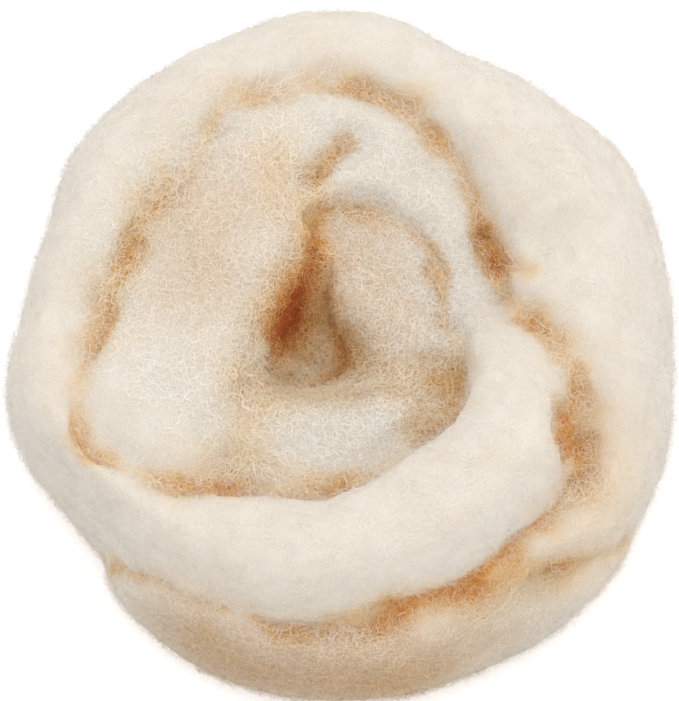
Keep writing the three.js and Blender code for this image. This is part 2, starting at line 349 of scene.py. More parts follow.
@dataclass(frozen=True)
class BodyFinish(WoolFinish):
    """The felted mass of wool: light goes some way into it, and it is faintly mottled."""

    glow: float = 0.35
    glow_depth: Colour = (5.0 * MM, 3.2 * MM, 1.9 * MM)  # how far red, green and blue light go in
    mottle: Grain = Grain(9.0 * MM, 4.0, 0.6)
    mottle_range: Span = (0.3, 0.7)  # values of that pattern that are dimmest and not dim
    mottle_tint: Colour = (0.93, 0.90, 0.85)  # of the dimmest mottles
    felt: Grain = Grain(1.1 * MM, 5.0, 0.65, 1.5)
    felt_height: float = 0.4 * MM
    felt_strength: Span = (0.42, 0.65)  # on the smooth outer wrap and on the loosest wool
    curls: tuple[tuple[Grain, float], ...] = (  # patterns whose middle values are strands, and their seeds
        (Grain(1.7 * MM, 0.5, twist=0.7), 0.0),
        (Grain(1.15 * MM, 0.5, twist=0.7), 3.7),
        (Grain(0.8 * MM, 0.5, twist=0.7), 8.1),
    )
    curl_width: float = 0.032  # in those patterns' values
    gap_shade_tint: Colour = (0.80, 0.73, 0.63)  # painted shade of the wool between the strands
    smooth: float = 0.18  # how much of the strands shows on the smooth outer wrap
    veil: float = 0.48  # how light that wrap is between them, against a strand, with less of that painted shade

    def material(self) -> bpy.types.Material:
        """Makes the body's material.

        Returns:
            The material.
        """
        nodes = Nodes(bpy.data.materials.new(self.name))
        place = nodes.place()
        loose = nodes.painted(LOOSE)
        curls = self.curled(nodes, place)
        shader = self.shader(nodes, self.mottled(nodes, place, loose, curls))
        deepest = self.glow_depth[0]
        shader.inputs["Subsurface Weight"].default_value = self.glow
        shader.inputs["Subsurface Radius"].default_value = tuple(depth / deepest for depth in self.glow_depth)
        shader.inputs["Subsurface Scale"].default_value = deepest
        bump = nodes.add("ShaderNodeBump", Distance=self.felt_height)
        nodes.put(nodes.ranged(loose, (0.0, 1.0), self.felt_strength), bump.inputs["Strength"])
        nodes.put(nodes.counted("ADD", self.felt.add_to(nodes, place), curls), bump.inputs["Height"])
        nodes.put(bump.outputs["Normal"], shader.inputs["Normal"])
        return nodes.owner

    def mottled(
        self,
        nodes: Nodes,
        place: bpy.types.NodeSocket,
        loose: bpy.types.NodeSocket,
        curls: bpy.types.NodeSocket,
    ) -> bpy.types.NodeSocket:
        """Adds the body's colour, dimmer in its mottles, and with painted shade between its strands.

        Args:
            nodes: the material's nodes.
            place: the socket that gives the place on the piece.
            loose: the socket that says how loosely the fibres lie.
            curls: the socket that is 1 on a strand and 0 between them.

        Returns:
            The socket that gives the colour.
        """
        bright = nodes.ranged(self.mottle.add_to(nodes, place), self.mottle_range, (0.0, 1.0))
        clear = nodes.ranged(loose, (0.0, 1.0), (self.smooth, 1.0))
        strand = nodes.mixed(clear, self.veil, curls, kind="FLOAT")
        colour = self.coloured(nodes)
        for share, tint in ((bright, self.mottle_tint), (strand, self.gap_shade_tint)):
            colour = nodes.multiplied(colour, nodes.mixed(share, (*tint, 1.0), WHITE))
        return colour

    def curled(self, nodes: Nodes, place: bpy.types.NodeSocket) -> bpy.types.NodeSocket:
        """Adds a felt of thin curled strands.

        Args:
            nodes: the material's nodes.
            place: the socket that gives the place on the piece.

        Returns:
            The socket that is 1 on a strand and 0 between them.
        """
        strands = []
        for grain, seed in self.curls:
            moved = nodes.add("ShaderNodeVectorMath", operation="ADD")
            nodes.put(place, moved.inputs[0])
            nodes.put((seed, seed, seed), moved.inputs[1])
            value = nodes.counted("SUBTRACT", grain.add_to(nodes, moved.outputs["Vector"]), NOISE_MIDDLE)
            away = nodes.counted("ABSOLUTE", value)
            width = (0.0, self.curl_width)
            strands.append(nodes.ranged(away, width, (1.0, 0.0), interpolation_type="SMOOTHSTEP"))
        felt = strands[0]
        for strand in strands[1:]:
            felt = nodes.counted("MAXIMUM", felt, strand)
        return felt


@dataclass(frozen=True)
class FibreFinish(WoolFinish):
    """A single fibre: the body's colours with their painted shade, lighter by its own tone."""

    lighter: Colour = (1.10, 1.10, 1.09)  # the lightest fibres against the wool under them
    shallower: float = 0.75  # share of the painted shade of the fold that the lightest fibres show

    def material(self) -> bpy.types.Material:
        """Makes the fibres' material.

        Returns:
            The material.
        """
        nodes = Nodes(bpy.data.materials.new(self.name))
        light = nodes.multiplied(self.coloured(nodes, self.shallower), (*self.lighter, 1.0))
        self.shader(nodes, nodes.mixed(nodes.painted(TONE), self.coloured(nodes), light))
        return nodes.owner


# painted shade by depth of fold: cream on the open wool, golden in a crease, red brown deepest in a fold
FOLD_SHADE_COLOURS = (
    (0.0, (0.86, 0.84, 0.80)),
    (0.2, (0.865, 0.76, 0.61)),
    (0.4, (0.86, 0.68, 0.42)),
    (0.6, (0.85, 0.56, 0.23)),
    (0.8, (0.79, 0.36, 0.09)),
    (1.0, (0.56, 0.13, 0.035)),
)
BODY_FINISH = BodyFinish("wool_felt", FOLD_SHADE_COLOURS)
FIBRE_FINISH = FibreFinish("wool_fibre", FOLD_SHADE_COLOURS, roughness=0.8)


@dataclass(frozen=True)
class Roots:
    """Places on the wool where strands start."""

    places: np.ndarray
    outwards: np.ndarray  # the way out of the wool there
    depth: np.ndarray  # of the fold there
    painted_shade: np.ndarray  # how much painted shade the wool has there


class Skin:
    """The body's surface, for creases to be pressed into and for strands to grow from and lie on."""

    def __init__(self, mesh: bpy.types.Mesh) -> None:
        """Reads a mesh of triangles into arrays.

        Args:
            mesh: the body's mesh.
        """
        self.points = np.zeros((len(mesh.vertices), 3), np.float32)
        mesh.vertices.foreach_get("co", self.points.ravel())
        self.points = self.points.astype(float)
        self.faces = np.zeros((len(mesh.polygons), 3), np.int32)
        mesh.polygons.foreach_get("vertices", self.faces.ravel())
        self.edges = np.zeros((len(mesh.edges), 2), np.int32)
        mesh.edges.foreach_get("vertices", self.edges.ravel())
        corners = self.points[self.faces]
        turned = np.cross(corners[:, 1] - corners[:, 0], corners[:, 2] - corners[:, 0])
        self.areas = np.linalg.norm(turned, axis=1) / 2
        normals = np.zeros_like(self.points)
        for k in range(3):
            np.add.at(normals, self.faces[:, k], turned)
        self.normals = unit(normals)
        self.face_normals = unit(self.normals[self.faces].mean(axis=1))
        self.crease = self.painted(mesh, FOLD_SHADE)
        self.painted_shade = self.painted(mesh, PAINTED_SHADE)
        self.face_crease = self.crease[self.faces].mean(axis=1)
        self.face_middles = corners.mean(axis=1)
        self.tree = BVHTree.FromPolygons(self.points.tolist(), self.faces.tolist(), all_triangles=True)

    def painted(self, mesh: bpy.types.Mesh, name: str) -> np.ndarray:
        """Reads one of the body's attributes.

        Args:
            mesh: the body's mesh.
            name: which attribute.

        Returns:
            One number a point, 0 where the mesh has no such attribute yet.
        """
        values = np.zeros(len(self.points), np.float32)
        if name in mesh.attributes:
            mesh.attributes[name].data.foreach_get("value", values)
        return values.astype(float)

    def evened(self, values: np.ndarray, rounds: int) -> np.ndarray:
        """Averages a value at each point with its neighbours'.

        Args:
            values: one number a point.
            rounds: how often.

        Returns:
            The evened numbers.
        """
        shared = np.bincount(self.edges.ravel(), minlength=len(values))
        for _ in range(rounds):
            total = np.bincount(self.edges[:, 0], values[self.edges[:, 1]], len(values))
            total += np.bincount(self.edges[:, 1], values[self.edges[:, 0]], len(values))
            values = (values + total / np.maximum(shared, 1)) / 2
        return values

    def sown(self, count: int, weight: np.ndarray, rng: np.random.Generator) -> Roots:
        """Picks places on the surface.

        Args:
            count: how many.
            weight: how likely each face is for its area.
            rng: the source of chance.

        Returns:
            The places, with the way out of the wool, its depth of fold and its painted shade there.
        """
        chance = self.areas * weight
        picked = rng.choice(len(self.faces), size=count, p=chance / chance.sum())
        one, two = np.sqrt(rng.random(count)), rng.random(count)
        shares = np.stack((1 - one, one * (1 - two), one * two), -1)[:, :, None]
        corners = self.faces[picked]
        return Roots(
            places=(self.points[corners] * shares).sum(axis=1),
            outwards=unit((self.normals[corners] * shares).sum(axis=1)),
            depth=(self.crease[corners] * shares[:, :, 0]).sum(axis=1),
            painted_shade=(self.painted_shade[corners] * shares[:, :, 0]).sum(axis=1),
        )

    def settled(self, places: np.ndarray) -> Courses:
        """Drops points on to the nearest place of the surface.

        Args:
            places: points near the surface.

        Returns:
            The nearest places, the way out of the wool there, and the depth of fold.
        """
        nearest = self.tree.find_nearest
        found = [nearest(place) for place in places]
        index = np.array([hit[2] for hit in found])
        feet = np.array([hit[0] for hit in found])
        return feet, self.face_normals[index], self.face_crease[index]


@dataclass(frozen=True)
class Lumps:
    """Soft unevenness of one size."""

    size: float
    height: float  # how much it counts
    seed: float

    def spot(self, point: Vector) -> Vector:
        """Where in the noise a point of the wool lies."""
        return point / self.size + Vector((self.seed, 0, 0))


@dataclass(frozen=True)
class Fold:
    """A crease pressed into the wool along a few places with its painted shade, or a patch of more or less
    painted shade.
    """

    places: tuple[tuple[float, float, float], ...]  # millimetres
    width: float  # millimetres
    depth: float  # millimetres, below 0 where the wool is raised
    warm_shade: float  # how much painted shade it adds, warm and dark as deep in a fold, below 0 where it takes painted shade away
    squash: float = 0.15  # how much a difference in height counts
    painted_dimming: float = 0.0  # how much darker the wool is painted there, as painted shade

    def nearness(self, skin: Skin, reach: float) -> np.ndarray:
        """How close each point of the body is to the crease.

        Args:
            skin: the body's surface.
            reach: how far the crease counts, in its own widths.

        Returns:
            One number a point, 1 in the crease's middle.
        """
        ends = np.array(self.places) * MM
        nearest = np.full(len(skin.points), np.inf)
        for start, end in zip(ends, ends[1:]):
            along = end - start
            share = np.clip((skin.points - start) @ along / (along @ along), 0.0, 1.0)
            away = (skin.points - start - share[:, None] * along) * (1.0, 1.0, self.squash)
            nearest = np.minimum(nearest, (away**2).sum(axis=1))
        return np.exp(-nearest / (self.width * MM * reach) ** 2)


FOLDS = (
    # across the inner back, and on from there to the middle
    Fold(((1.2, 36.0, 54.7), (-3.4, 30.5, 55.9), (-6.6, 26.6, 56.2)), 1.6, 3.4, 0.76),
    Fold(((-6.6, 26.6, 56.2), (-6.1, 20.0, 54.3), (-6.1, 13.6, 52.1)), 2.2, 0.6, 0.35),
    # the hole in the middle, the raised flap of wool in it and its front lip
    Fold(((-5.7, 12.0, 49.3), (-10.0, 4.0, 45.0)), 2.6, 0.0, 0.92, painted_dimming=0.1),
    Fold(((-10.0, 4.0, 45.0), (-14.5, -5.0, 45.0)), 3.2, 1.0, 0.97, painted_dimming=0.2),
    Fold(((-12.0, -7.5, 32.0), (-7.5, -8.5, 32.0)), 3.6, -4.5, 0.0),
    Fold(((-18.5, -17.5, 47.0), (-8.5, -18.5, 47.5), (1.5, -18.0, 48.0)), 4.5, 1.4, 0.46),
    # patches of painted shade on the inner back and in front of the core
    Fold(((-13.5, 30.0, 59.0), (-12.0, 22.0, 59.0)), 4.5, 0.6, 0.26),
    Fold(((20.0, -19.0, 46.0), (18.0, -25.0, 46.5)), 4.0, 0.6, 0.16),
    Fold(((-15.8, -34.6, 45.3), (-8.5, -31.0, 48.0)), 5.0, 0.4, 0.14),
    # the gap on the right, the thin crease on from it, and a short one into the outer wrap
    Fold(((30.0, 16.6, 50.6), (32.0, 13.0, 48.6), (33.0, 10.2, 48.5)), 1.6, 2.4, 0.98, painted_dimming=0.15),
    Fold(((33.0, 10.2, 48.5), (34.9, 2.4, 48.7), (40.0, -5.5, 50.5), (45.3, -14.0, 53.0)), 1.2, 1.0, 0.42),
    Fold(((32.9, 12.1, 48.0), (36.0, 8.2, 53.5), (39.6, 5.6, 57.2)), 1.8, 1.2, 0.36),
    # the gap beside the right end of the strip across the front
    Fold(((46.2, -25.0, 53.0), (45.4, -31.0, 52.0)), 1.6, 3.4, 0.86),
    # under the core's own lobe
    Fold(((1.9, -8.0, 42.0), (11.3, -16.8, 48.4), (20.9, -15.0, 43.8)), 3.4, 1.4, 0.46),
    # end of the lower left lobe
    Fold(((-17.3, -18.8, 47.8), (-19.9, -27.2, 49.4), (-24.1, -37.3, 43.5)), 3.6, 0.7, 0.20),
    # over the lower right wall, and along the front turn under the strip's edge
    Fold(((60.8, -40.5, 17.3), (52.6, -47.3, 29.6), (44.2, -51.0, 28.6)), 1.8, 2.0, 0.28, 0.5),
    Fold(((46.4, -50.4, 30.0), (37.3, -54.0, 36.0), (28.9, -58.2, 37.0)), 3.2, 1.6, 0.50, 0.6),
    Fold(((28.9, -58.2, 37.0), (16.3, -60.6, 40.2), (10.1, -62.4, 42.5)), 2.2, 1.8, 0.58, 0.6),
    Fold(((10.1, -62.4, 42.5), (3.9, -64.6, 42.0), (-6.0, -66.5, 37.0)), 1.8, 1.2, 0.34, 0.6),
    Fold(((-9.0, -67.5, 35.0), (-18.9, -67.0, 34.0), (-29.4, -64.1, 31.0)), 2.2, 1.0, 0.18, 0.4),
    # the strip's lower left edge, which runs out into the wall without a crease
    Fold(
        ((-43.0, -51.5, 27.5), (-40.2, -53.0, 30.0), (-34.7, -56.1, 33.4), (-22.0, -62.5, 36.8)),
        2.6, -1.2, -0.9, 0.5,
    ),
    Fold(((-17.0, -65.0, 36.5), (-9.0, -66.5, 36.0)), 2.6, 0.0, -0.9, 0.4),
    # the front wall, with painted shade for the strip's shadow over it, and the shoulder to its right
    Fold(((-24.0, -65.0, 20.0), (10.0, -70.0, 20.0)), 13.0, 0.0, 0.40, 1.0, 0.38),
    Fold(((10.0, -70.0, 22.0), (30.0, -64.0, 24.0)), 9.0, 0.0, 0.14, 1.0, 0.08),
    Fold(((54.0, -44.0, 40.0), (56.0, -34.0, 44.0)), 7.0, 0.0, 0.16),
    # more painted shade, warmer and darker, on the upper left lobe and the core
    Fold(((-29.0, 18.0, 58.0), (-30.0, 4.0, 58.0)), 9.0, 0.0, 0.18, painted_dimming=0.14),
    Fold(((2.0, 14.0, 47.0), (12.0, 0.0, 47.0)), 9.0, 0.0, 0.18, painted_dimming=0.12),
    # less painted shade on the inner back and on the lobe below the core
    Fold(((6.0, 33.0, 57.0), (16.0, 25.0, 55.0)), 7.0, 0.0, -0.3),
    Fold(((-4.0, -24.0, 49.0), (6.0, -30.0, 49.0)), 9.0, 0.0, -0.25),
    # less painted shade over the crease low on the left, and between the core and the gap on the right
    Fold(((-50.0, -30.0, 52.0), (-47.0, -37.0, 50.0)), 5.0, 0.0, -0.25),
    Fold(((24.5, 12.0, 47.0), (28.0, -1.0, 47.0)), 6.0, 0.0, -0.5),
)


@dataclass(frozen=True)
class Pull:
    """A stretch of crease that lies off the seam under it, because the wool over it is drawn to one side."""

    place: tuple[float, float, float]  # millimetres
    shift: tuple[float, float, float]  # millimetres
    reach: float  # millimetres

    def at(self, points: np.ndarray) -> np.ndarray:
        """How far the crease is drawn at each point."""
        away = ((points - np.array(self.place) * MM) ** 2).sum(axis=1)
        return np.exp(-away / (self.reach * MM) ** 2)[:, None] * np.array(self.shift) * MM


PULLS = (
    Pull((-49.5, -6.0, 55.0), (3.4, 0.0, 0.0), 12.0),
    Pull((-50.0, -31.0, 51.0), (-3.6, -0.5, 0.0), 8.0),
)


@dataclass
class WoolRoll:
    """The rolled batt's body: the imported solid, with its turns grown together and its surface lumpy."""

    weld: float = 0.001 * MM  # corners of the solid that are closer than this are one
    swell: float = 2.8 * MM  # brings the turns together before they are joined
    shrink: float = 2.3 * MM  # taken off again after that
    grain: float = 1.0 * MM  # edge length of the joined body
    even_joined: int = 2  # rounds of evening out after the turns are joined
    even_shrunk: int = 8  # after the swelling is taken off
    even_pressed: int = 2  # after the creases are pressed in
    even_share: float = 0.5  # of the way to its neighbours that a point goes in one round
    seam_gap: float = 2.5 * MM  # faces of the solid closer than this lie in the seam between two turns
    seam_clear: float = 0.05 * MM  # how far off its face the search for the other one starts
    seam_points: int = 4  # of a seam that count for each point of the body
    seam_soft: float = 1.0 * MM  # evens out how much each of them counts
    seam_width: float = 1.2 * MM
    seam_depth: float = 2.4 * MM
    seam_rise: float = 16.0 * MM  # how far above the seam its crease still shows
    seam_tilt: Span = (-0.1, 0.4)  # how far up the wool faces where the crease starts, and is all there
    seam_warm_shade: tuple[Span, ...] = ((0.62, 1.5), (0.24, 3.8))  # painted shade of the crease, and to how many widths it reaches
    fade: Lumps = Lumps(13 * MM, 1.0, -9.1)  # how the crease comes and goes
    strength: tuple[float, float, float] = (0.35, 0.8, 1.0)  # of the crease at least, usually and at most
    spell: Lumps = Lumps(7 * MM, 1.3, -9.1)  # how it widens and narrows
    breadth: Span = (0.55, 1.8)  # of the crease at least and at most, against its usual width
    wander: tuple[Lumps, ...] = (  # how far it strays to its sides
        Lumps(9 * MM, 1.5 * MM, 5.3),
        Lumps(3.6 * MM, 0.8 * MM, 9.1),
    )
    press_tilt: Span = (0.0, 0.5)  # how far up the wool faces where pressing starts, and is in full
    lumps: tuple[Lumps, ...] = (
        Lumps(18 * MM, 1.0 * MM, 3.1),
        Lumps(8 * MM, 0.6 * MM, 7.7),
        Lumps(3.6 * MM, 0.3 * MM, 11.3),
    )
    rough: Span = (1.35, 0.7)  # share of the lumps on the inner turns and on the outer wrap
    rough_until: Span = (35.0 * MM, 60.0 * MM)  # how far from the axis the first ends and the second starts
    still_height: float = 1.5 * MM  # below this the foot stays flat
    free_height: float = 9.0 * MM  # above this the creases and lumps are there in full
    fold_reach: float = 26.0 * MM  # how far a facing wall of wool shades a point
    fold_rays: int = 24
    fold_clear: float = 0.3 * MM  # how far off the wool the rays start
    fold_range: Span = (0.06, 0.77)  # shares of shade that count as no fold and as the deepest
    fold_bend: float = 1.6  # power by which the depth of fold follows the shade
    fold_spread: float = 1.4  # how far a crease's painted shade goes, in its own widths
    floor_shade: float = 0.7  # how much of that shade the floor gives the wool above it
    even_shade: int = 3  # rounds of evening out of the shade
    seed: int = 41

    def build(self) -> bpy.types.Object:
        """Makes the body, with its depth of fold as an attribute.

        Returns:
            The finished body.
        """
        noise.seed_set(self.seed)
        body = self.joined()
        self.press(body.data)
        self.card(body.data)
        self.mark_folds(body.data)
        body.data.materials.clear()
        body.data.materials.append(BODY_FINISH.material())
        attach(body, BODY)
        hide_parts(NODE)
        return body

    def joined(self) -> bpy.types.Object:
        """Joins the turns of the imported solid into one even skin.

        Returns:
            An object of small even faces, in the solid's place.
        """
        bm = bmesh.new()
        bm.from_mesh(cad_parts[NODE].data)
        bmesh.ops.remove_doubles(bm, verts=bm.verts, dist=self.weld)
        bm.normal_update()
        for vert in bm.verts:
            vert.co += vert.normal * self.swell
        mesh = bpy.data.meshes.new("wool_body")
        bm.to_mesh(mesh)
        bm.free()
        body = bpy.data.objects.new("wool_body", mesh)
        bpy.context.scene.collection.objects.link(body)
        bpy.context.view_layer.objects.active = body
        mesh.remesh_voxel_size = self.grain
        bpy.ops.object.voxel_remesh()
        self.relax(body.data, self.even_joined)
        bm = bmesh.new()
        bm.from_mesh(body.data)
        bm.normal_update()
        for vert in bm.verts:
            vert.co -= vert.normal * self.shrink
        bmesh.ops.triangulate(bm, faces=bm.faces)
        bm.to_mesh(body.data)
        bm.free()
        self.relax(body.data, self.even_shrunk)
        return body

    def relax(self, mesh: bpy.types.Mesh, rounds: int) -> None:
        """Evens out a mesh's surface.

        Args:
            mesh: the mesh, changed in place.
            rounds: how many times each point moves towards its neighbours.
        """
        axes = {"use_axis_x": True, "use_axis_y": True, "use_axis_z": True}
        bm = bmesh.new()
        bm.from_mesh(mesh)
        for _ in range(rounds):
            bmesh.ops.smooth_vert(bm, verts=bm.verts, factor=self.even_share, **axes)
        bm.to_mesh(mesh)
        bm.free()

    def seams(self) -> tuple[KDTree, np.ndarray, np.ndarray]:
        """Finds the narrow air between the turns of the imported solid.

        Returns:
            Points in that air, to be searched and as an array, and the way across it at each.
        """
        solid = bmesh.new()
        solid.from_mesh(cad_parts[NODE].data)
        whole = BVHTree.FromBMesh(solid)
        middles, sides = [], []
        for face in solid.faces:
            start = face.calc_center_median() + face.normal * self.seam_clear
            facing = whole.ray_cast(start, face.normal, self.seam_gap)[0]
            if facing is not None:
                middles.append((start + facing) / 2)
                sides.append(face.normal.copy())
        solid.free()
        tree = KDTree(len(middles))
        for i, middle in enumerate(middles):
            tree.insert(middle, i)
        tree.balance()
        return tree, np.array(middles), np.array(sides)

    def seam_nearness(self, skin: Skin, reach: float) -> np.ndarray:
        """How close each point of the body is to the crease where two turns of the strip meet.

        Args:
            skin: the body's surface.
            reach: how far the crease counts, in its own widths.

        Returns:
            One number a point, 1 in the crease's middle where it is strongest.
        """
        tree, middles, sides = self.seams()
        points = [Vector(point) for point in skin.points]
        strays = np.zeros_like(skin.points)
        for layer in self.wander:
            strays += layer.height * np.array([noise.noise_vector(layer.spot(point)) for point in points])
        for pull in PULLS:
            strays -= pull.at(skin.points)
        presence = self.fade.height * np.array([noise.noise(self.fade.spot(point)) for point in points])
        breadth = self.spell.height * np.array([noise.noise(self.spell.spot(point)) for point in points])
        found = [tree.find_n(point, self.seam_points) for point in skin.points]
        index = np.array([[hit[1] for hit in hits] for hits in found])
        weight = 1.0 / (np.array([[hit[2] for hit in hits] for hits in found]) + self.seam_soft) ** 2
        weight /= weight.sum(axis=1, keepdims=True)
        away = skin.points[:, None, :] - middles[index]
        strayed = away + strays[:, None, :]
        aside = (np.abs((strayed * sides[index]).sum(-1)) * weight).sum(-1)
        above = (away[:, :, 2] * weight).sum(-1)
        width = self.seam_width * reach * np.clip(1.0 + breadth, *self.breadth)
        fall = (aside / width) ** 2 + (np.maximum(above, 0.0) / self.seam_rise) ** 2
        least, usual, most = self.strength
        strength = np.clip(usual + presence, least, most)
        return np.exp(-fall) * strength * smoothstep(skin.normals[:, 2], *self.seam_tilt)

    def press(self, mesh: bpy.types.Mesh) -> None:
        """Deepens the seams between the turns and presses the creases in.

        Args:
            mesh: the mesh, changed in place.
        """
        skin = Skin(mesh)
        sink = self.seam_depth * self.seam_nearness(skin, 1.0)
        for fold in FOLDS:
            sink += fold.depth * MM * fold.nearness(skin, 1.0)
        sink *= smoothstep(skin.points[:, 2], self.still_height, self.free_height)
        sink *= smoothstep(skin.normals[:, 2], *self.press_tilt)
        places = skin.points - skin.normals * sink[:, None]
        mesh.vertices.foreach_set("co", places.astype(np.float32).ravel())
        mesh.update()
        self.relax(mesh, self.even_pressed)

    def card(self, mesh: bpy.types.Mesh) -> None:
        """Gives the skin the lumps of carded wool, and sets its foot flat on the floor.

        Args:
            mesh: the mesh, changed in place.
        """
        bm = bmesh.new()
        bm.from_mesh(mesh)
        bm.normal_update()
        for vert in bm.verts:
            free = float(smoothstep(np.array(vert.co.z), self.still_height, self.free_height))
            far = float(smoothstep(np.array(vert.co.xy.length), *self.rough_until))
            free *= self.rough[0] * (1.0 - far) + self.rough[1] * far
            rise = sum(layer.height * noise.noise(layer.spot(vert.co)) for layer in self.lumps)
            vert.co += vert.normal * rise * free
            vert.co.z = max(vert.co.z, 0.0)
        bm.to_mesh(mesh)
        bm.free()

    def shade(self, skin: Skin) -> np.ndarray:
        """How much of the room is hidden from each point of the body, seen by rays cast out from it.

        Args:
            skin: the body's surface.

        Returns:
            One number a point, 0 where nothing near it is in the way.
        """
        rng = np.random.default_rng(self.seed)
        count = len(skin.points)
        level = (np.arange(self.fold_rays) + 0.5) / self.fold_rays
        around = np.arange(self.fold_rays) * GOLDEN_ANGLE
        wide = np.sqrt(level)
        local = np.stack((wide * np.cos(around), wide * np.sin(around), np.sqrt(1 - level)), -1)
        twist = rng.uniform(0, 2 * math.pi, count)
        across = unit(np.cross(skin.normals, ODD_WAY))
        along = np.cross(skin.normals, across)
        first = across * np.cos(twist)[:, None] + along * np.sin(twist)[:, None]
        second = np.cross(skin.normals, first)
        starts = skin.points + skin.normals * self.fold_clear
        shade = np.zeros(count)
        cast = skin.tree.ray_cast
        for i in range(count):
            rays = local[:, :1] * first[i] + local[:, 1:2] * second[i] + local[:, 2:] * skin.normals[i]
            start = starts[i]
            total = 0.0
            for ray in rays:
                far = cast(start, ray, self.fold_reach)[3]
                if far is not None:
                    total += 1.0 - (far / self.fold_reach) ** 2
                elif ray[2] * self.fold_reach < -start[2]:
                    total += self.floor_shade * (1.0 - (start[2] / ray[2] / self.fold_reach) ** 2)
            shade[i] = total / self.fold_rays
        return skin.evened(shade, self.even_shade)

    def mark_folds(self, mesh: bpy.types.Mesh) -> None:
        """Stores how deep in a fold each point lies, which its painted shade follows, how much more painted
        shade it has and how loosely its fibres lie.

        Args:
            mesh: the mesh, given the three attributes.
        """
        skin = Skin(mesh)
        low, high = self.fold_range
        open_share = 1.0 - np.clip((self.shade(skin) - low) / (high - low), 0.0, 1.0) ** self.fold_bend
        # painted shade along the seams between the turns
        for warm_shade, reach in self.seam_warm_shade:
            open_share *= 1.0 - warm_shade * self.seam_nearness(skin, reach)
        painted_shade = np.zeros(len(skin.points))
        # painted shade of each crease and patch, and the darkening it marks
        for fold in FOLDS:
            near = fold.nearness(skin, self.fold_spread)
            open_share = np.minimum(open_share * (1.0 - fold.warm_shade * near), 1.0)
            painted_shade = np.maximum(painted_shade, fold.painted_dimming * near)
        paint(mesh, FOLD_SHADE, 1.0 - open_share)
        paint(mesh, PAINTED_SHADE, painted_shade)
        paint(mesh, LOOSE, ZONES.loose(skin.points))


class Lie(Enum):
    """How a strand lies on the wool."""

    STANDING = "standing"  # rooted at one end, the other in the air
    LYING = "lying"  # along the surface
    BRIDGING = "bridging"  # from one side of a fold to the other


@dataclass(frozen=True)
class Growth:
    """Where on the wool strands grow, by its height, the way it faces and its depth of fold."""

    off_floor: Span = (0.3 * MM, 3 * MM)  # heights over which strands start
    underneath: Span = (0.6, 0.95)  # how far down the wool faces where they end
    inner_share: float = 1.8  # how many more of them lie on the inner turns
    fold_starts: Span = (0.08, 0.4)  # depths over which a place comes to count as a fold
    fold_ends: Span = (0.8, 0.97)  # and no longer does
    hole: Span = (0.9, 1.0)  # depths over which strands end
    bridge_tilt: Span = (0.25, 0.6)  # how far up the wool faces where bridges start
    bridge_starts: Span = (0.2, 0.35)  # depths over which bridges start
    bridge_ends: Span = (0.5, 0.7)  # and end
    bridged: float = 0.5  # depth from which a fold is bridged


GROWTH = Growth()


@dataclass(frozen=True)
class Cell:
    """A ribbon's own cell in its piece's map."""

    aspect: int = 4  # how many times as wide as tall
    margin: float = 0.05  # left free at its start, in widths of the cell
    along: float = 0.9  # how much of its width the ribbon takes
    across: Span = (0.15, 0.85)  # where the ribbon's sides lie, in heights of the cell


CELL = Cell()


